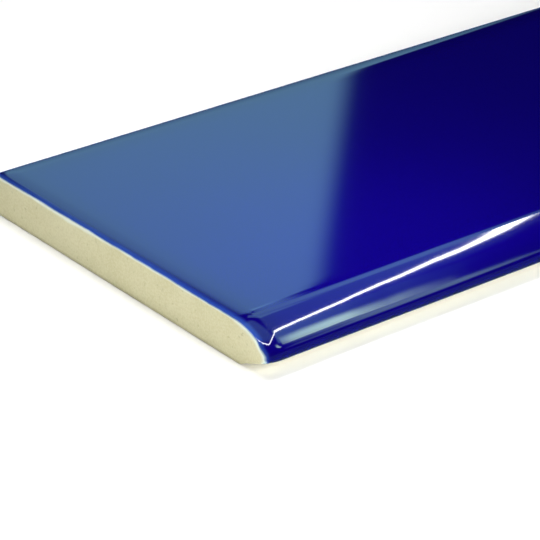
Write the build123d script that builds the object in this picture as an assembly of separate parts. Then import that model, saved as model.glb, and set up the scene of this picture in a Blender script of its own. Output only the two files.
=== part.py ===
from build123d import *
import math
import os

# A glazed ceramic wall tile with one rounded long edge, pressed and fired as one piece.
# Its back lies in the plane Z = 0, centred on the origin. X runs along the rounded edge,
# which faces -Y, and the glazed face looks up.

# Overall size
LENGTH = 152.4
WIDTH = 76.2
THICKNESS = 7.94

# Rounded edge: a large arc falls from the face to a small nose, and an undercut rises to it from the back
BULLNOSE_RADIUS = 12.7
NOSE_RADIUS = 1.6
NOSE_HEIGHT = 3.8
UNDERCUT_ANGLE = 22.0
UNDERCUT_BLEND = 3.0

# Cushion: the glazed face falls away towards the three flat edges
CUSHION_INSET = 3.5
CUSHION_DROP = 0.4

# Chamfer where the flat edges meet the back
BACK_CHAMFER = 0.3

# Waffle of shallow pockets that keys the back to its adhesive
POCKET_SIZE = 9.6
POCKET_CORNER = 1.5
POCKET_DEPTH = 0.6
POCKET_DRAFT = 20.0
RIB_WIDTH = 2.4
BACK_BORDER = 5.0

# How far a cutting shape reaches past the surface that it cuts
CUT_CLEARANCE = 3.0

half_length = LENGTH / 2
half_width = WIDTH / 2
cushion_radius = (CUSHION_INSET**2 + CUSHION_DROP**2) / (2 * CUSHION_DROP)
cushion_sweep = math.degrees(math.asin(CUSHION_INSET / cushion_radius))


def polar(centre, angle, distance):
    """The point at a distance from a centre, at an angle in degrees."""
    return centre + Vector(distance, 0).rotate(Axis.Z, angle)


# Centres of the section's arcs, as (Y, Z), and the angle at which the bullnose runs into the nose
far_centre = Vector(half_width - CUSHION_INSET, THICKNESS - cushion_radius)
nose_centre = Vector(NOSE_RADIUS - half_width, NOSE_HEIGHT)
nose_rise = NOSE_HEIGHT - (THICKNESS - BULLNOSE_RADIUS)
nose_reach = math.sqrt((BULLNOSE_RADIUS - NOSE_RADIUS) ** 2 - nose_rise**2)
bullnose_centre = Vector(nose_centre.X + nose_reach, THICKNESS - BULLNOSE_RADIUS)
join_angle = 180 - math.degrees(math.atan2(nose_rise, nose_reach))
undercut_normal = 270 - UNDERCUT_ANGLE

# Points of the section, from the far flat edge over the face to the back
far_corner = Vector(half_width, 0)
far_edge = polar(far_centre, 90 - cushion_sweep, cushion_radius)
face_far = polar(far_centre, 90, cushion_radius)
face_near = polar(bullnose_centre, 90, BULLNOSE_RADIUS)
bullnose_end = polar(bullnose_centre, join_angle, BULLNOSE_RADIUS)
nose_end = polar(nose_centre, undercut_normal, NOSE_RADIUS)
undercut_run = nose_end.Y / math.sin(math.radians(UNDERCUT_ANGLE))
foot = polar(nose_end, -UNDERCUT_ANGLE, undercut_run)


def glazed_outline():
    """The edges of the section that carry the glaze: far cushion, face, bullnose and nose."""
    far_middle = polar(far_centre, 90 - cushion_sweep / 2, cushion_radius)
    bullnose_middle = polar(bullnose_centre, (90 + join_angle) / 2, BULLNOSE_RADIUS)
    nose_middle = polar(nose_centre, (join_angle + undercut_normal) / 2, NOSE_RADIUS)
    ThreePointArc(far_edge, far_middle, face_far)
    Line(face_far, face_near)
    ThreePointArc(face_near, bullnose_middle, bullnose_end)
    ThreePointArc(bullnose_end, nose_middle, nose_end)


def tile_blank():
    """The section carried along the whole length, before the ends are eased."""
    with BuildSketch() as section:
        with BuildLine():
            glazed_outline()
            Line(nose_end, foot)
            Line(foot, far_corner)
            Line(far_corner, far_edge)
        make_face()
        fillet(section.vertices().sort_by_distance(foot)[0], UNDERCUT_BLEND)
    return extrude(Plane.YZ * section.sketch, amount=half_length, both=True)


def end_cushion():
    """The stock that the cushion takes off the +X end, along the glazed outline and down the undercut."""
    with BuildLine() as outline:
        Line(polar(far_edge, -cushion_sweep, CUT_CLEARANCE), far_edge)
        glazed_outline()
        Line(nose_end, polar(foot, -UNDERCUT_ANGLE, CUT_CLEARANCE))
    path = Plane.YZ.offset(half_length - CUSHION_INSET) * outline.line
    with BuildSketch(Plane(path @ 0, x_dir=(1, 0, 0), z_dir=path % 0)) as profile:
        with BuildLine():
            start = Vector(0, 0)
            fall = Vector(CUSHION_INSET, -CUSHION_DROP)
            middle = polar(Vector(0, -cushion_radius), 90 - cushion_sweep / 2, cushion_radius)
            ThreePointArc(start, middle, fall)
            outside = fall.X + CUT_CLEARANCE
            Polyline(fall, (outside, fall.Y), (outside, CUT_CLEARANCE), (0, CUT_CLEARANCE), start)
        make_face()
    return sweep(profile.sketch, path=path)


def copies(span):
    """How many pockets fit between the borders of a span of the back."""
    return math.floor((span - 2 * BACK_BORDER + RIB_WIDTH) / (POCKET_SIZE + RIB_WIDTH))


def back_pockets():
    """The waffle of drafted pockets, centred on the flat of the back."""
    flat_start = foot.X + UNDERCUT_BLEND * math.tan(math.radians(UNDERCUT_ANGLE / 2))
    flat_middle = (flat_start + half_width) / 2
    pitch = POCKET_SIZE + RIB_WIDTH
    with BuildSketch(Plane.XY) as openings:
        with Locations((0, flat_middle)):
            with GridLocations(pitch, pitch, copies(LENGTH), copies(half_width - flat_start)):
                RectangleRounded(POCKET_SIZE, POCKET_SIZE, POCKET_CORNER)
    return extrude(openings.sketch, amount=POCKET_DEPTH, taper=POCKET_DRAFT)


def flat_edge_feet(eased):
    """The three lines along which the flat edges of the tile meet its back."""
    lowest = eased.edges().group_by(Axis.Z)[0]
    ends = lowest.filter_by(Axis.Y)
    far = lowest.filter_by(Axis.X).sort_by(Axis.Y)[-1]
    return [ends.sort_by(Axis.X)[0], ends.sort_by(Axis.X)[-1], far]


cushion = end_cushion()
eased = tile_blank() - cushion - mirror(cushion, about=Plane.YZ)
tile = chamfer(flat_edge_feet(eased), BACK_CHAMFER) - back_pockets()

os.makedirs("parts", exist_ok=True)
export_step(tile, "parts/tile.step")
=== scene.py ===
import math
from collections import namedtuple

import bpy
import numpy as np
from bpy.props import FloatProperty, FloatVectorProperty, PointerProperty
from mathutils import Matrix, Vector


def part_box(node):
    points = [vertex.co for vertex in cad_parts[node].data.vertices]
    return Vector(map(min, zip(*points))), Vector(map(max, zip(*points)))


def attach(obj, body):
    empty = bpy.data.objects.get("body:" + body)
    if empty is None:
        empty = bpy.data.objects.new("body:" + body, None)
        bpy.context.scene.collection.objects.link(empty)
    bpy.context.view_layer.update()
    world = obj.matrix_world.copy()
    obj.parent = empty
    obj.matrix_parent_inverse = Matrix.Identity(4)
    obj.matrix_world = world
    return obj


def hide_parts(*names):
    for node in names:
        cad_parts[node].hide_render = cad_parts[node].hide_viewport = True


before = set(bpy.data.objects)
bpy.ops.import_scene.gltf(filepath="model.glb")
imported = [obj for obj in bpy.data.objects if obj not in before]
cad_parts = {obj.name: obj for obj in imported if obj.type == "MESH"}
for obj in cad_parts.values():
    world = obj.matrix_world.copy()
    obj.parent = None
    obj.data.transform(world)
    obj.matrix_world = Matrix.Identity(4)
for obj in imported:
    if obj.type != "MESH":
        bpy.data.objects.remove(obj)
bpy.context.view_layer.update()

bl_info = {
    "name": "Bullnose tile",
    "version": (1, 0, 0),
    "blender": (4, 5, 0),
    "location": "3D View > Sidebar > Tile",
    "description": "Builds a glazed bullnose wall tile and the studio that it is shown in",
    "category": "Add Mesh",
}

MM = 0.001
BODY = "root"
NODE = "tile"
PIECE = "glazed_tile"
EDGE_ATTRIBUTE = "glaze_edge"
TILE_LOW, TILE_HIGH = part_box(NODE)
TILE_SIZE = TILE_HIGH - TILE_LOW


# Settings that a user can change

def length_setting(name, description, metres):
    """A length in metres."""
    return FloatProperty(name=name, description=description, default=metres, unit="LENGTH", precision=5)


def angle_setting(name, description, degrees):
    """An angle, kept in radians and shown in degrees."""
    return FloatProperty(name=name, description=description, default=math.radians(degrees), subtype="ANGLE")


def colour_setting(name, description, colour):
    """A linear colour."""
    return FloatVectorProperty(
        name=name, description=description, default=colour, subtype="COLOR", size=3, min=0.0, max=1.0
    )


def share_setting(name, description, value):
    """A number from 0 to 1."""
    return FloatProperty(name=name, description=description, default=value, min=0.0, max=1.0, subtype="FACTOR")


class TileSizes(bpy.types.PropertyGroup):
    """The tile's section, its eased edges and the waffle of its back."""

    length: length_setting("Length", "Along the rounded edge", TILE_SIZE.x)
    width: length_setting("Width", "From the nose to the far edge", TILE_SIZE.y)
    thickness: length_setting("Thickness", "From the back to the face", TILE_SIZE.z)
    bullnose_radius: length_setting("Bullnose radius", "Arc that falls from the face to the nose", 12.7 * MM)
    nose_radius: length_setting("Nose radius", "Arc round the nose", 1.6 * MM)
    nose_height: length_setting("Nose height", "Height of the nose above the back", 3.8 * MM)
    undercut_angle: angle_setting("Undercut angle", "Slope from the back up to the nose", 22.0)
    undercut_blend: length_setting("Undercut blend", "Arc between the undercut and the back", 3.0 * MM)
    cushion_inset: length_setting("Cushion inset", "How far in from an edge the face starts to fall", 3.5 * MM)
    cushion_drop: length_setting("Cushion drop", "How far the face would fall at a sharp edge", 0.4 * MM)
    edge_round: length_setting("Edge rounding", "Small round of the flat edges' rims", 0.3 * MM)
    glaze_wrap: length_setting("Glaze wrap", "How far the glaze runs on under the nose", 0.2 * MM)
    glaze_spill: length_setting("Glaze spill", "How far the glaze runs over onto an end at the nose", 0.5 * MM)
    pocket_size: length_setting("Pocket size", "Side of a pocket of the back", 9.6 * MM)
    pocket_corner: length_setting("Pocket corner", "Rounding of a pocket's corners", 1.5 * MM)
    pocket_depth: length_setting("Pocket depth", "Depth of a pocket", 0.6 * MM)
    pocket_slope: length_setting("Pocket slope", "Width of a pocket's sloping wall", 0.5 * MM)
    rib_width: length_setting("Rib width", "Rib between two pockets", 2.4 * MM)
    back_border: length_setting("Back border", "Least border round the pockets", 5.0 * MM)
    ripple: length_setting("Ripple", "Height of the slow ripples in the glaze of the bullnose", 0.015 * MM)


class TileFinish(bpy.types.PropertyGroup):
    """Colours and gloss of the glaze and of the bare body."""

    glaze: colour_setting("Glaze", "Cobalt glaze at its full thickness", (0.0019, 0.00015, 0.096))
    # Painted shade: this darker glaze colour stands in for the shade over the eased edges, where the face falls away
    # from the light
    glaze_edge_shade: colour_setting("Darkened glaze", "Glaze where it darkens along an edge", (0.0015, 0.00012, 0.077))
    glaze_thin: colour_setting("Thin glaze", "Glaze where it thins towards an edge", (0.014, 0.042, 0.225))
    # Partly the thin glaze's own colour and partly a painted highlight where the rounded edge catches the light
    glaze_rim: colour_setting("Glaze rim", "Pale line where the glaze ends", (0.500, 0.630, 0.620))
    glaze_roughness: share_setting("Glaze roughness", "Roughness of the glaze", 0.05)
    bisque: colour_setting("Bisque", "Bare fired body", (0.560, 0.525, 0.310))
    bisque_pale: colour_setting("Pale bisque", "Paler grains of the body", (0.630, 0.600, 0.385))
    # This darker colour also serves as painted shade along the lower edges
    bisque_dark: colour_setting("Dark bisque", "Darker grains, pores and rubbed lower edges", (0.400, 0.380, 0.212))
    slip: colour_setting("Slip", "Whiter body next to the glaze", (0.700, 0.745, 0.640))
    bisque_roughness: share_setting("Bisque roughness", "Roughness of the bare body", 0.9)


class StudioSetup(bpy.types.PropertyGroup):
    """The camera, the floor and the strength of the light."""

    azimuth: angle_setting("Camera azimuth", "Turn round the tile, 0 looks along +Y", -38.159)
    elevation: angle_setting("Camera elevation", "Height of the camera above the horizon", 26.792)
    distance: length_setting("Camera distance", "From the point that the camera aims at", 414.82 * MM)
    lens: FloatProperty(name="Lens", description="Focal length", default=173.89, unit="CAMERA")
    aim_along: length_setting("Aim along", "Aimed point, in from the left end", 14.09 * MM)
    aim_across: length_setting("Aim across", "Aimed point, in from the nose", 17.43 * MM)
    floor_size: length_setting("Floor size", "Side of the floor", 12.0)
    floor: colour_setting("Floor", "Pale matt floor", (0.95, 0.95, 0.95))
    brightness: FloatProperty(name="Brightness", description="Strength of every light", default=1.0, min=0.0)
    ambience: colour_setting("Ambience", "Dim light from above the horizon", (0.005, 0.004, 0.005))
    underlight: colour_setting("Underlight", "What glossy surfaces show of the floor", (0.10, 0.17, 0.17))


# Surfaces

def arc(centre, radius, start, end, steps):
    """Points at even angles: centre plus radius times (cos, sin), each with the normal (cos, sin)."""
    angle = np.linspace(start, end, steps + 1)
    normal = np.stack([np.cos(angle), np.sin(angle)], 1)
    return np.asarray(centre) + radius * normal, normal


def straight(start, end, steps):
    """Points at even shares of the way from start to end, with the normal on the right of the way."""
    start, end = np.asarray(start), np.asarray(end)
    way = end - start
    normal = np.array([way[1], -way[0]]) / np.hypot(*way)
    return start + np.outer(np.linspace(0, 1, steps + 1), way), np.tile(normal, (steps + 1, 1))


def stretch(points, fall, shrink=(0.0, 0.0), depth=0.0):
    """Rows of point, fall, shrink and depth without the last row, which the next stretch starts with."""
    rows = np.empty((len(points), 7))
    rows[:, :2], rows[:, 2:4], rows[:, 4:6], rows[:, 6] = points, fall, shrink, depth
    return rows[:-1]


class EasedEdge:
    """How the glazed face goes over into a flat edge: ways in from the edge, depths and lengths on the profile.

    A wide arc falls from the face, with the radius (inset squared + drop squared) / (2 drop). A small round turns
    it into the edge. The round touches the wide arc from inside, so its centre is the wide radius less the root of
    ((wide - small) squared - (inset - small) squared) below the face.
    """

    ROUND_STEPS = 6
    CUSHION_STEPS = 10
    STEPS = ROUND_STEPS + CUSHION_STEPS
    GLAZE_TURN = math.radians(30)

    def __init__(self, sizes):
        inset, drop, small = sizes.cushion_inset, sizes.cushion_drop, sizes.edge_round
        wide = (inset**2 + drop**2) / (2 * drop)
        centre = wide - math.sqrt((wide - small) ** 2 - (inset - small) ** 2)
        meeting = math.asin((inset - small) / (wide - small))
        turn = np.linspace(0, math.pi / 2 - meeting, self.ROUND_STEPS + 1)
        tilt = np.linspace(meeting, 0, self.CUSHION_STEPS + 1)[1:]
        self.way = np.concatenate([small * (1 - np.cos(turn)), inset - wide * np.sin(tilt)])
        self.depth = np.concatenate([centre - small * np.sin(turn), wide * (1 - np.cos(tilt))])
        self.length = np.concatenate([small * turn, small * turn[-1] + wide * (meeting - tilt)])
        self.glaze_line = small * self.GLAZE_TURN
        self.small = small

    def fall(self, way):
        """Depth of the eased edge at ways in from it."""
        return np.interp(way, self.way, self.depth)

    def rounding(self, way):
        """Depth of the small round of a bare edge at ways in from it: a quarter circle."""
        return self.small * (1 - np.sqrt(1 - np.clip(1 - way / self.small, 0, 1) ** 2))

    def glaze(self, way):
        """Length on the profile from the line where the glaze ends, negative on the bare body."""
        return np.interp(way, self.way, self.length) - self.glaze_line + np.maximum(way - self.way[-1], 0)


class Outline:
    """The tile's section in (Y, Z), once round, as the four sides of a patch: face, nose, underside and far wall.

    The far edge is eased, the face is a line, and the bullnose and the nose are two tangent arcs. The undercut is a
    line that an arc blends into the back, and a small arc turns the back up into the far wall. Near an end, a point
    gives way by its fall times the depth of the eased end and by its shrink times the rounding of a bare edge.
    """

    BULLNOSE_STEPS = 44
    NOSE_STEPS = 24
    UNDERCUT_STEPS = 12
    BLEND_STEPS = 4
    SPILL_RISE = (27.0, 36.0)
    SPILL_FALL = (95.0, 140.0)

    def __init__(self, sizes, eased):
        half = sizes.width / 2
        nose = np.array([sizes.nose_radius - half, sizes.nose_height])
        rise = sizes.nose_height - (sizes.thickness - sizes.bullnose_radius)
        reach = math.sqrt((sizes.bullnose_radius - sizes.nose_radius) ** 2 - rise**2)
        crown = np.array([nose[0] + reach, sizes.thickness - sizes.bullnose_radius])
        meeting = math.pi - math.atan2(rise, reach)
        under = 1.5 * math.pi - sizes.undercut_angle
        nose_end = nose + sizes.nose_radius * np.array([math.cos(under), math.sin(under)])
        slope = np.array([math.cos(sizes.undercut_angle), -math.sin(sizes.undercut_angle)])
        foot = nose_end + slope * nose_end[1] / math.sin(sizes.undercut_angle)
        cut_back = sizes.undercut_blend * math.tan(sizes.undercut_angle / 2)
        self.flat_start = foot[0] + cut_back
        self.flat = half - self.flat_start
        self.middle = half - self.flat / 2
        small = sizes.edge_round

        stations = pocket_stations(self.middle, self.flat, sizes)
        stations = np.concatenate([[self.flat_start], stations, [half - small]])
        undercut = straight(nose_end, foot - slope * cut_back, self.UNDERCUT_STEPS)
        blend_centre = (self.flat_start, sizes.undercut_blend)
        blend = arc(blend_centre, sizes.undercut_blend, under, 1.5 * math.pi, self.BLEND_STEPS)
        share = np.linspace(0, 1, self.BLEND_STEPS + 1)[:, None]
        underside = np.concatenate([
            stretch(*undercut),
            stretch(blend[0], (1 - share) * blend[1], share * blend[1]),
            stretch(np.stack([stations, np.zeros_like(stations)], 1), (0.0, 0.0), (0.0, -1.0)),
        ])

        far = np.stack([half - eased.way, sizes.thickness - eased.depth], 1)
        far_shrink = np.stack([1 - eased.way / sizes.cushion_inset, np.zeros_like(eased.way)], 1)
        face_steps = len(underside) - eased.STEPS - self.BULLNOSE_STEPS
        face = np.concatenate([
            stretch(far, (0.0, 1.0), far_shrink, eased.depth),
            stretch(*straight(far[-1], (crown[0], sizes.thickness), face_steps)),
            stretch(*arc(crown, sizes.bullnose_radius, math.pi / 2, meeting, self.BULLNOSE_STEPS)),
        ])

        foot_round = arc((half - small, small), small, -math.pi / 2, 0.0, eased.ROUND_STEPS)
        wall = straight((half, small), far[0], self.NOSE_STEPS - eased.ROUND_STEPS)
        up = np.linspace(0, 1, len(wall[0]))
        far_wall = np.concatenate([
            stretch(foot_round[0], (0.0, 0.0), (1.0, -1.0)),
            stretch(wall[0], np.stack([0 * up, up], 1), np.stack([1 + 0 * up, up - 1], 1), eased.depth[0]),
        ])

        nose_arc = stretch(*arc(nose, sizes.nose_radius, meeting, under, self.NOSE_STEPS))
        rows = np.concatenate([face, nose_arc, underside, far_wall])
        self.points, self.fall, self.shrink, self.depth = rows[:, :2], rows[:, 2:4], rows[:, 4:6], rows[:, 6]
        self.long_steps, self.short_steps = len(face), self.NOSE_STEPS
        self.edge = self.way_to_glaze_edge(eased.glaze_line, sizes.glaze_wrap)
        self.spill = sizes.glaze_spill * self.nose_share()

    def way_to_glaze_edge(self, far_line, wrap):
        """Way along the section to the nearer end of the glaze, positive on the glaze and negative on the body."""
        steps = np.linalg.norm(np.roll(self.points, -1, 0) - self.points, axis=1)
        along = np.concatenate([[0.0], np.cumsum(steps)[:-1]])
        glaze_end = along[self.long_steps + self.short_steps] + wrap
        inside = np.minimum(along - far_line, glaze_end - along)
        outside = np.minimum(along - glaze_end, steps.sum() - along + far_line)
        return np.where(along <= glaze_end, inside, -outside)

    def nose_share(self):
        """1 where the nose looks out, 0 on the face and under it: a smooth rise and fall over the tilt in degrees."""
        nose = np.zeros(len(self.points))
        rounded = slice(self.long_steps - self.BULLNOSE_STEPS, self.long_steps + self.short_steps)
        tilt = np.degrees(np.arccos(self.fall[rounded, 1]))
        nose[rounded] = smooth(tilt, *self.SPILL_RISE) * (1 - smooth(tilt, *self.SPILL_FALL))
        return nose


def smooth(value, low, high):
    """0 below low and 1 above high, with a smooth rise between them."""
    share = np.clip((value - low) / (high - low), 0, 1)
    return share**2 * (3 - 2 * share)


# Stations across a pocket, from its rim in: how many on the wall, and then at these shares of the corner's radius
POCKET_WALL_STATIONS = 4
POCKET_FLOOR_STATIONS = (0.55, 0.8, 1.0, 1.4)


def pocket_stations(middle, span, sizes):
    """Stations across a row of pockets about a middle, closer together on both walls of each pocket."""
    pitch = sizes.pocket_size + sizes.rib_width
    count = math.floor((span - 2 * sizes.back_border + sizes.rib_width) / pitch)
    centres = middle + pitch * (np.arange(count) - (count - 1) / 2)
    wall = np.linspace(0, sizes.pocket_slope, POCKET_WALL_STATIONS)
    floor = sizes.pocket_corner * np.array(POCKET_FLOOR_STATIONS)
    inward = np.concatenate([wall, floor])
    offsets = np.concatenate([inward - sizes.pocket_size / 2, sizes.pocket_size / 2 - inward])
    return np.unique((centres[:, None] + offsets).ravel())


def pocket_hollow(x, y, middle, span, sizes):
    """Height of the back above its plane: each pocket is a rounded square with sloping walls.

    Both ways from a pocket's centre are folded into one cell of the waffle. The way in from the rounded square's
    outline, over the width of the slope, gives the share of the depth, smoothed at both ends.
    """
    pitch = sizes.pocket_size + sizes.rib_width
    inside = np.ones(np.broadcast(x, y).shape, bool)
    past = []
    for value, centre, width in ((x, 0.0, sizes.length), (y, middle, span)):
        count = math.floor((width - 2 * sizes.back_border + sizes.rib_width) / pitch)
        start = centre - pitch * count / 2
        inside &= (value > start) & (value < start + pitch * count)
        from_centre = np.abs((value - start) % pitch - pitch / 2)
        past.append(from_centre - (sizes.pocket_size / 2 - sizes.pocket_corner))
    beyond = np.hypot(np.maximum(past[0], 0), np.maximum(past[1], 0)) + np.minimum(np.maximum(*past), 0)
    share = (sizes.pocket_corner - beyond) / sizes.pocket_slope
    return np.where(inside, sizes.pocket_depth * smooth(share, 0, 1), 0)


# Lengths in millimetres, phases in radians
Ripple = namedtuple("Ripple", "length slant phase share")
RIPPLES = (Ripple(37.0, 1.2, 0.3, 1.0), Ripple(21.0, -0.9, 1.9, 0.5), Ripple(12.0, 0.6, 4.1, 0.2))


def ripples(x, along, sizes):
    """Slow uneven waves of the glaze: a sum of sines along the tile, each with its own length and slant."""
    total = 0
    for wave in RIPPLES:
        turns = (x + wave.slant * along) / (wave.length * MM)
        total = total + wave.share * np.sin(2 * math.pi * turns + wave.phase)
    return sizes.ripple * total


def tile_surface(sizes):
    """The tile as one closed mesh: the outline carried from end to end, and a patch across each end.

    A point of the tube is a point of the outline less its fall times the depth of the eased end and less its shrink
    times the rounding of a bare end, at that way in from the nearer end. Where the far edge's own depth meets the
    end's, the two add up as the sides of a right angle do. The bullnose carries slow ripples.
    """
    eased = EasedEdge(sizes)
    outline = Outline(sizes, eased)
    half = sizes.length / 2
    x = np.concatenate([eased.way - half, pocket_stations(0.0, sizes.length, sizes), half - eased.way[::-1]])
    way_in = half - np.abs(x)[:, None]
    ring = len(outline.points)
    taken = np.hypot(outline.depth, eased.fall(way_in)) - outline.depth
    tube = np.empty((len(x), ring, 3))
    tube[..., 0] = x[:, None]
    tube[..., 1:] = outline.points - taken[..., None] * outline.fall
    tube[..., 1:] -= eased.rounding(way_in)[..., None] * outline.shrink

    crest = np.zeros(ring)
    first, last = outline.long_steps - Outline.BULLNOSE_STEPS, outline.long_steps + outline.short_steps
    crest[first:last] = np.sin(np.linspace(0, math.pi, last - first)) ** 2
    height = ripples(x[:, None], np.linspace(0, sizes.width, ring), sizes) * crest
    tube[..., 1:] += height[..., None] * outline.fall

    under = slice(last, last + outline.long_steps)
    tube[:, under, 2] += pocket_hollow(tube[:, under, 0], tube[:, under, 1], outline.middle, outline.flat, sizes)
    tube_edge = np.minimum(outline.edge, eased.glaze(way_in) + outline.spill)

    index = np.arange(len(x) * ring).reshape(len(x), ring)
    around = np.roll(index, -1, 1)
    faces = [np.stack([index[:-1], around[:-1], around[1:], index[1:]], -1).reshape(-1, 4)]
    points, edges = [tube.reshape(-1, 3)], [tube_edge.ravel()]
    for row, turned in ((0, True), (len(x) - 1, False)):
        patch, borders = end_patch(tube[row], index[row], outline, sum(len(p) for p in points))
        inner = patch[1:-1, 1:-1].reshape(-1, 3)
        glazed = outline.edge >= 0
        gap = np.linalg.norm(inner[:, None, :] - tube[row][glazed], axis=-1)
        points.append(inner)
        edges.append((outline.spill[glazed] - gap).max(1) - eased.glaze_line)
        quads = np.stack([borders[:-1, :-1], borders[1:, :-1], borders[1:, 1:], borders[:-1, 1:]], -1)
        faces.append((quads[..., ::-1] if turned else quads).reshape(-1, 4))
    return np.concatenate(points), np.concatenate(faces), np.concatenate(edges)


def end_patch(ring_points, ring_index, outline, next_index):
    """The grid across an end: its four sides are stretches of the ring, and its inner points are new ones."""
    long, short = outline.long_steps, outline.short_steps
    order = np.arange(2 * (long + short) + 1) % (2 * (long + short))
    face = order[: long + 1]
    nose = order[long : long + short + 1]
    under = order[long + short : 2 * long + short + 1][::-1]
    wall = order[2 * long + short :][::-1]
    u = np.linspace(0, 1, long + 1)[:, None, None]
    v = np.linspace(0, 1, short + 1)[None, :, None]
    p = ring_points
    patch = (1 - v) * p[face][:, None] + v * p[under][:, None] + (1 - u) * p[wall][None] + u * p[nose][None]
    patch = patch - (1 - u) * (1 - v) * p[face[0]] - u * (1 - v) * p[face[-1]]
    patch = patch - (1 - u) * v * p[under[0]] - u * v * p[under[-1]]
    index = np.empty((long + 1, short + 1), int)
    index[1:-1, 1:-1] = next_index + np.arange((long - 1) * (short - 1)).reshape(long - 1, short - 1)
    index[:, 0], index[:, -1] = ring_index[face], ring_index[under]
    index[0], index[-1] = ring_index[wall], ring_index[nose]
    return patch, index


def mesh_piece(name, points, faces, attribute, values):
    """A smooth mesh object in the scene, with one number stored at each point."""
    mesh = bpy.data.meshes.new(name)
    mesh.vertices.add(len(points))
    mesh.vertices.foreach_set("co", points.astype(np.float32).ravel())
    mesh.loops.add(faces.size)
    mesh.loops.foreach_set("vertex_index", faces.astype(np.int32).ravel())
    mesh.polygons.add(len(faces))
    mesh.polygons.foreach_set("loop_start", np.arange(0, faces.size, faces.shape[1], dtype=np.int32))
    mesh.polygons.foreach_set("use_smooth", np.ones(len(faces), bool))
    mesh.update(calc_edges=True)
    mesh.attributes.new(attribute, "FLOAT", "POINT").data.foreach_set("value", values.astype(np.float32))
    piece = bpy.data.objects.new(name, mesh)
    bpy.context.scene.collection.objects.link(piece)
    return piece


# Shaders

class Wire:
    """A node's output that takes part in Python expressions: each operation adds its node to the tree."""

    MIX_FACTOR, MIX_A, MIX_B, MIX_COLOUR = 0, 6, 7, 2

    def __init__(self, tree, socket=None):
        self.tree, self.socket = tree, socket

    def make(self, kind, settings=None, inputs=None, output=0):
        """Adds a node: its settings first, then the values or links of its sockets. Gives one of its outputs."""
        node = self.tree.nodes.new(kind)
        for name, value in (settings or {}).items():
            setattr(node, name, value)
        for name, value in (inputs or {}).items():
            if isinstance(value, Wire):
                self.tree.links.new(value.socket, node.inputs[name])
            else:
                node.inputs[name].default_value = value
        return Wire(self.tree, node.outputs[output])

    def maths(self, operation, first, second):
        """A Math node on two numbers or wires."""
        return self.make("ShaderNodeMath", {"operation": operation}, {0: first, 1: second})

    def __add__(self, other):
        return self.maths("ADD", self, other)

    def __sub__(self, other):
        return self.maths("SUBTRACT", self, other)

    def __mul__(self, other):
        return self.maths("MULTIPLY", self, other)

    def __rsub__(self, other):
        return self.maths("SUBTRACT", other, self)

    __radd__ = __add__
    __rmul__ = __mul__

    def ramp(self, low, high):
        """0 below low and 1 above high, with a smooth rise between them."""
        return self.make(
            "ShaderNodeMapRange",
            {"interpolation_type": "SMOOTHSTEP"},
            {"Value": self, "From Min": low, "From Max": high},
        )

    def pick(self, low, high):
        """A colour between two colours, by this wire as the share of the second."""
        inputs = {self.MIX_FACTOR: self, self.MIX_A: low, self.MIX_B: high}
        return self.make("ShaderNodeMix", {"data_type": "RGBA"}, inputs, self.MIX_COLOUR)

    def noise(self, size, detail=2.0, roughness=0.5):
        """Cloudy noise about 0.5 whose patches are about a size across, in the units of these coordinates."""
        inputs = {"Vector": self, "Scale": 1 / size, "Detail": detail, "Roughness": roughness}
        return self.make("ShaderNodeTexNoise", None, inputs, "Fac")


def opaque(colour):
    """A colour with its alpha."""
    return (*colour, 1.0)


# The finish: ways from the glaze's edge, heights and patch sizes in millimetres, and shares of the noises
NOISE_MIDDLE = 0.5
GLAZE_IOR = 1.52
WANDER_PATCH, WANDER_REACH = 5.0, 0.3
JITTER_PATCH, JITTER_REACH = 1.2, 0.08
COVER_RISE = (-0.16, -0.04)
SHADE_PATCH, SHADE_SPREAD = 14.0, 0.05
# Painted shade over the eased edges gives way to the full glaze colour between these ways from the glaze's edge
EDGE_SHADE_RISE = (2.5, 7.5)
THIN_RISE = (0.1, 1.3)
RIM_START, RIM_HEIGHTS = -0.1, (4.0, 7.0)
RIM_STEEPNESS, RIM_STEEPNESS_GAIN = 1.25, 2.08
GRAIN_PATCH, GRAIN_DETAIL, GRAIN_ROUGHNESS = 0.35, 3.0, 0.6
BODY_PATCH, BODY_RISE = 6.0, (0.35, 0.65)
GRAIN_SHARE, PATCH_SHARE = 0.7, 0.3
PORE_PATCH, PORE_RISE, PORE_SHADE = 0.8, (0.66, 0.74), 0.5
# Painted shade along the lower edge: the heights over which it fades, how far it wanders with the grain, and its
# strength
LOW_SHADE_HEIGHTS, LOW_SHADE_WANDER, LOW_SHADE_SHARE = (0.25, 0.8), 0.5, 0.45
SLIP_RISE, SLIP_WANDER = (-0.8, -0.1), 1.2
GRAIN_RELIEF, PORE_RELIEF = 0.03, 0.05


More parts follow.
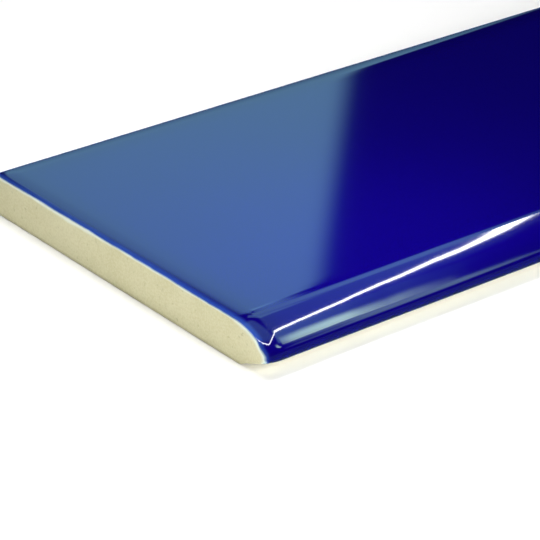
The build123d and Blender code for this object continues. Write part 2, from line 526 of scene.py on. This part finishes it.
def tile_material(finish):
    """Glaze and bare body in one surface.

    They part at the glaze's edge, which wanders a little. The mesh holds the way to it, in millimetres.
    """
    material = bpy.data.materials.new("fired_tile")
    material.use_nodes = True
    tree = material.node_tree
    tree.nodes.clear()
    start = Wire(tree)
    place = start.make("ShaderNodeTexCoord", output="Object")
    place = start.make("ShaderNodeVectorMath", {"operation": "SCALE"}, {0: place, "Scale": 1 / MM})
    height = start.make("ShaderNodeSeparateXYZ", None, {"Vector": place}, "Z")
    edge = start.make("ShaderNodeAttribute", {"attribute_name": EDGE_ATTRIBUTE}, output="Fac")
    wander = WANDER_REACH * (place.noise(WANDER_PATCH) - NOISE_MIDDLE)
    line = edge + wander + JITTER_REACH * (place.noise(JITTER_PATCH) - NOISE_MIDDLE)
    cover = line.ramp(*COVER_RISE)

    # Glaze: deep where thick, painted shade over the eased edges, lighter as it thins, pale where it ends, partly as
    # a painted highlight
    shades = [opaque([share * c for c in finish.glaze]) for share in (1 - SHADE_SPREAD, 1 + SHADE_SPREAD)]
    deep = place.noise(SHADE_PATCH).pick(*shades)
    # Painted shade: the glaze darkens over the eased edges
    deep = line.ramp(*EDGE_SHADE_RISE).pick(opaque(finish.glaze_edge_shade), deep)
    thick = line.ramp(*THIN_RISE).pick(opaque(finish.glaze_thin), deep)
    steepness = RIM_STEEPNESS + RIM_STEEPNESS_GAIN * height.ramp(*RIM_HEIGHTS)
    # Pale rim where the glaze ends: partly the thin glaze's own colour, partly a painted highlight of the rounded
    # edge; wider low down
    glaze = (steepness * (line - RIM_START)).ramp(0.0, 1.0).pick(opaque(finish.glaze_rim), thick)

    # Bare body: fine pale and dark grains over slow patches, whiter next to the glaze, with painted shade along the
    # lower edge
    grain = place.noise(GRAIN_PATCH, GRAIN_DETAIL, GRAIN_ROUGHNESS)
    patch = place.noise(BODY_PATCH)
    pale = (GRAIN_SHARE * grain + PATCH_SHARE * patch).ramp(*BODY_RISE)
    body = pale.pick(opaque(finish.bisque), opaque(finish.bisque_pale))
    pore = place.noise(PORE_PATCH).ramp(*PORE_RISE)
    # Painted shade: the bare body darkens towards the bottom, where the lower edge turns away from the light
    shaded = 1 - (height + LOW_SHADE_WANDER * (grain - NOISE_MIDDLE)).ramp(*LOW_SHADE_HEIGHTS)
    body = (PORE_SHADE * pore + LOW_SHADE_SHARE * shaded).pick(body, opaque(finish.bisque_dark))
    body = (edge + SLIP_WANDER * (patch - NOISE_MIDDLE)).ramp(*SLIP_RISE).pick(body, opaque(finish.slip))

    rough = finish.bisque_roughness + (finish.glaze_roughness - finish.bisque_roughness) * cover
    relief = (1 - cover) * (GRAIN_RELIEF * grain - PORE_RELIEF * pore)
    bump = start.make("ShaderNodeBump", None, {"Height": relief, "Strength": 1.0, "Distance": MM}, "Normal")
    shader = start.make("ShaderNodeBsdfPrincipled", None, {
        "Base Color": cover.pick(body, glaze),
        "Roughness": rough,
        "IOR": GLAZE_IOR,
        "Normal": bump,
    })
    output = tree.nodes.new("ShaderNodeOutputMaterial")
    tree.links.new(shader.socket, output.inputs["Surface"])
    return material


FLOOR_ROUGHNESS = 0.9


def floor_material(colour):
    """A pale matt floor."""
    material = bpy.data.materials.new("pale_floor")
    material.use_nodes = True
    shader = material.node_tree.nodes["Principled BSDF"]
    shader.inputs["Base Color"].default_value = opaque(colour)
    shader.inputs["Roughness"].default_value = FLOOR_ROUGHNESS
    shader.inputs["Specular IOR Level"].default_value = 0.0
    return material


# Studio

# A card runs from one heading to another, as (azimuth, elevation), and has a width, all in degrees as seen from the
# aimed point. It fades over a share of its length at its start and end, and over a share of its width at the left
# and the right of its way.
CARD_DISTANCE = 4.0
Card = namedtuple("Card", "name start end width fade_along fade_across colour radiance")
DAYLIGHT = (0.38, 0.83, 1.0)
SKYLIGHT = (0.40, 0.85, 1.0)
SEA_LIGHT = (0.48, 1.0, 0.97)
LAMP_LIGHT = (1.0, 1.0, 1.0)
LEAF_LIGHT = (0.68, 1.0, 0.72)
GARDEN_LIGHT = (0.62, 1.0, 0.68)
STRIP_FADES = (0.02, 0.02), (0.2, 0.2)
UPRIGHT_FADES = (0.3, 0.2), (0.1, 0.1)
STRIP_BEND, HOOK_TIP = (92.6, 58.8), (132.5, 66.0)
CARDS = (
    # What the face shows
    Card("window_card", (36.0, -2.0), (28.2, 40.0), 15.5, (0.62, 0.17), (0.1, 0.045), DAYLIGHT, 1.4),
    Card("bridge_card", (37.5, 28.3), (43.6, 38.2), 2.8, (0.15, 0.3), (0.6, 0.3), DAYLIGHT, 1.4),
    # What the bullnose shows, from the face down
    Card("streak_card", (38.0, 41.5), (58.0, 34.5), 9.5, (0.15, 0.5), (0.3, 0.3), SEA_LIGHT, 1.3),
    Card("corner_card", (35.0, 45.5), (52.0, 45.5), 7.0, (0.05, 0.1), (0.25, 0.25), SEA_LIGHT, 1.0),
    Card("ceiling_card", (46.0, 39.0), (88.0, 59.0), 13.0, (0.2, 0.1), (0.3, 0.3), SKYLIGHT, 0.6),
    Card("loft_card", (30.0, 57.0), (120.0, 66.0), 17.0, (0.1, 0.1), (0.2, 0.2), SKYLIGHT, 0.9),
    Card("strip_card", STRIP_BEND, (52.7, 37.1), 1.2, *STRIP_FADES, LAMP_LIGHT, 30.0),
    Card("hook_card", STRIP_BEND, HOOK_TIP, 1.0, *STRIP_FADES, LAMP_LIGHT, 30.0),
    Card("end_card", HOOK_TIP, (124.0, 89.0), 1.7, *STRIP_FADES, LAMP_LIGHT, 30.0),
    Card("glow_card", (84.0, 56.1), (118.0, 52.7), 10.0, (0.1, 0.05), (0.12, 0.7), SKYLIGHT, 1.7),
    Card("side_card", (100.5, 55.9), (119.5, 49.6), 6.0, (0.62, 0.05), (0.5, 0.5), LEAF_LIGHT, 11.0),
    Card("curl_card", (138.0, 45.0), (125.5, 60.0), 5.0, (0.3, 0.3), (0.3, 0.3), LEAF_LIGHT, 8.0),
    Card("front_card", (116.0, 50.2), (144.5, 17.5), 8.0, (0.12, 0.4), (0.4, 0.4), GARDEN_LIGHT, 2.6),
    # What the tile shows from its other sides
    Card("right_card", (96.0, 4.0), (96.0, 32.0), 18.0, *UPRIGHT_FADES, DAYLIGHT, 1.0),
    Card("back_card", (215.0, 4.0), (215.0, 46.0), 20.0, *UPRIGHT_FADES, DAYLIGHT, 1.0),
    Card("rear_card", (262.0, 4.0), (262.0, 46.0), 20.0, *UPRIGHT_FADES, DAYLIGHT, 1.0),
    Card("left_card", (305.0, 4.0), (305.0, 46.0), 20.0, *UPRIGHT_FADES, DAYLIGHT, 1.0),
)

# A softbox stands at a place relative to the aimed point and has a side, in metres
Softbox = namedtuple("Softbox", "name place size radiance")
SOFTBOXES = (
    Softbox("front_softbox", (0.0, -0.544, 0.254), 0.35, 12.5),
    Softbox("end_softbox", (-0.45, -0.15, 0.16), 0.3, 2.0),
    Softbox("top_softbox", (0.0, 0.2, 0.6), 0.5, 4.1),
    Softbox("near_softbox", (0.018, -0.005, 0.055), 0.04, 13.0),
)
SOFTBOX_COLOUR = (1.0, 1.0, 1.0)
SENSOR_WIDTH = 36.0
HORIZON_BLUR = 0.02
UP = Vector((0, 0, 1))


def heading(azimuth, elevation):
    """Unit vector at an azimuth, from +Y towards +X, and an elevation above the floor, both in degrees."""
    azimuth, elevation = math.radians(azimuth), math.radians(elevation)
    level = math.cos(elevation)
    return Vector((math.sin(azimuth) * level, math.cos(azimuth) * level, math.sin(elevation)))


def turned(along, back, place):
    """A frame at a place whose X axis is along, and whose Z axis is as near to back as it can be."""
    along = along.normalized()
    across = back.cross(along).normalized()
    return Matrix.Translation(place) @ Matrix((along, across, along.cross(across))).transposed().to_4x4()


def add_lamp(name, matrix, length, width, colour, radiance):
    """A rectangular lamp with one radiance all over, which the camera doesn't see."""
    data = bpy.data.lights.new(name, "AREA")
    data.shape = "RECTANGLE"
    data.size, data.size_y = length, width
    data.color = colour
    data.energy = radiance * length * width * math.pi
    lamp = bpy.data.objects.new(name, data)
    lamp.matrix_world = matrix
    lamp.visible_camera = False
    bpy.context.scene.collection.objects.link(lamp)
    return lamp


def add_card(card, target, brightness):
    """A card that only glossy surfaces show, from one heading to another, fading towards its four sides."""
    a, b = (target + CARD_DISTANCE * heading(*end) for end in (card.start, card.end))
    middle = (a + b) / 2
    width = 2 * (middle - target).length * math.tan(math.radians(card.width / 2))
    matrix = turned(b - a, middle - target, middle)
    lamp = add_lamp(card.name, matrix, (b - a).length, width, card.colour, card.radiance * brightness)
    lamp.visible_diffuse = False
    lamp.data.use_nodes = True
    tree = lamp.data.node_tree
    place = Wire(tree).make("ShaderNodeNewGeometry", output="Parametric")
    split = place.make("ShaderNodeSeparateXYZ", None, {"Vector": place}).socket.node
    strength = 1.0
    for axis, (near, far) in (("X", card.fade_along), ("Y", card.fade_across)):
        share = Wire(tree, split.outputs[axis])
        strength = share.ramp(0.0, near) * (1 - share).ramp(0.0, far) * strength
    tree.links.new(strength.socket, tree.nodes["Emission"].inputs["Strength"])


def add_softbox(box, target, brightness):
    """A square soft lamp that lights matt surfaces and isn't mirrored by glossy ones."""
    place = target + Vector(box.place)
    back = place - target
    matrix = turned(UP.cross(back), back, place)
    lamp = add_lamp(box.name, matrix, box.size, box.size, SOFTBOX_COLOUR, box.radiance * brightness)
    lamp.visible_glossy = False


class TILE_OT_body(bpy.types.Operator):
    """Makes the glazed tile with its finish and puts it in place of the plain solid"""

    bl_idname = "tile.body"
    bl_label = "Tile"

    def execute(self, context):
        points, faces, edges = tile_surface(context.scene.tile_sizes)
        piece = mesh_piece(PIECE, points, faces, EDGE_ATTRIBUTE, edges / MM)
        piece.data.materials.append(tile_material(context.scene.tile_finish))
        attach(piece, BODY)
        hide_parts(NODE)
        return {"FINISHED"}


class TILE_OT_stage(bpy.types.Operator):
    """Makes the floor, the lights and the camera"""

    bl_idname = "tile.stage"
    bl_label = "Stage"

    def execute(self, context):
        scene, studio, sizes = context.scene, context.scene.tile_studio, context.scene.tile_sizes
        half = studio.floor_size / 2
        mesh = bpy.data.meshes.new("floor")
        corners = [(-half, -half, 0), (half, -half, 0), (half, half, 0), (-half, half, 0)]
        mesh.from_pydata(corners, [], [(0, 1, 2, 3)])
        floor = bpy.data.objects.new("floor", mesh)
        floor.data.materials.append(floor_material(studio.floor))
        floor.visible_glossy = False
        scene.collection.objects.link(floor)

        aim = Vector((studio.aim_along - sizes.length / 2, studio.aim_across - sizes.width / 2, sizes.thickness))
        for card in CARDS:
            add_card(card, aim, studio.brightness)
        for box in SOFTBOXES:
            add_softbox(box, aim, studio.brightness)

        world = bpy.data.worlds.new("studio")
        world.use_nodes = True
        tree = world.node_tree
        way = Wire(tree).make("ShaderNodeTexCoord", output="Generated")
        height = way.make("ShaderNodeSeparateXYZ", None, {"Vector": way}, "Z")
        glow = height.ramp(-HORIZON_BLUR, HORIZON_BLUR).pick(opaque(studio.underlight), opaque(studio.ambience))
        tree.links.new(glow.socket, tree.nodes["Background"].inputs["Color"])
        scene.world = world

        data = bpy.data.cameras.new("camera")
        data.lens, data.sensor_width = studio.lens, SENSOR_WIDTH
        camera = bpy.data.objects.new("camera", data)
        back = heading(180 - math.degrees(studio.azimuth), math.degrees(studio.elevation))
        camera.matrix_world = turned(UP.cross(back), back, aim + studio.distance * back)
        scene.collection.objects.link(camera)
        scene.camera = camera
        scene.view_settings.view_transform = "Standard"
        return {"FINISHED"}


class TILE_PT_panel(bpy.types.Panel):
    """Lists the tile's settings and the steps that build it"""

    bl_idname = "TILE_PT_panel"
    bl_label = "Bullnose tile"
    bl_space_type = "VIEW_3D"
    bl_region_type = "UI"
    bl_category = "Tile"

    def draw(self, context):
        for group in (context.scene.tile_sizes, context.scene.tile_finish, context.scene.tile_studio):
            box = self.layout.box()
            for name in group.__annotations__:
                box.prop(group, name)
        for operator in OPERATORS:
            self.layout.operator(operator.bl_idname)


OPERATORS = (TILE_OT_body, TILE_OT_stage)
GROUPS = {"tile_sizes": TileSizes, "tile_finish": TileFinish, "tile_studio": StudioSetup}


def register():
    """Makes the settings, the operators and the panel known to Blender."""
    for cls in (*GROUPS.values(), *OPERATORS, TILE_PT_panel):
        bpy.utils.register_class(cls)
    for name, group in GROUPS.items():
        setattr(bpy.types.Scene, name, PointerProperty(type=group))


def unregister():
    """Takes them out again, in the opposite order."""
    for name in GROUPS:
        delattr(bpy.types.Scene, name)
    for cls in (TILE_PT_panel, *reversed(OPERATORS), *reversed(GROUPS.values())):
        bpy.utils.unregister_class(cls)


def main():
    """Builds everything."""
    register()
    bpy.ops.tile.body()
    bpy.ops.tile.stage()
    bpy.context.view_layer.update()


if __name__ == "__main__":
    main()
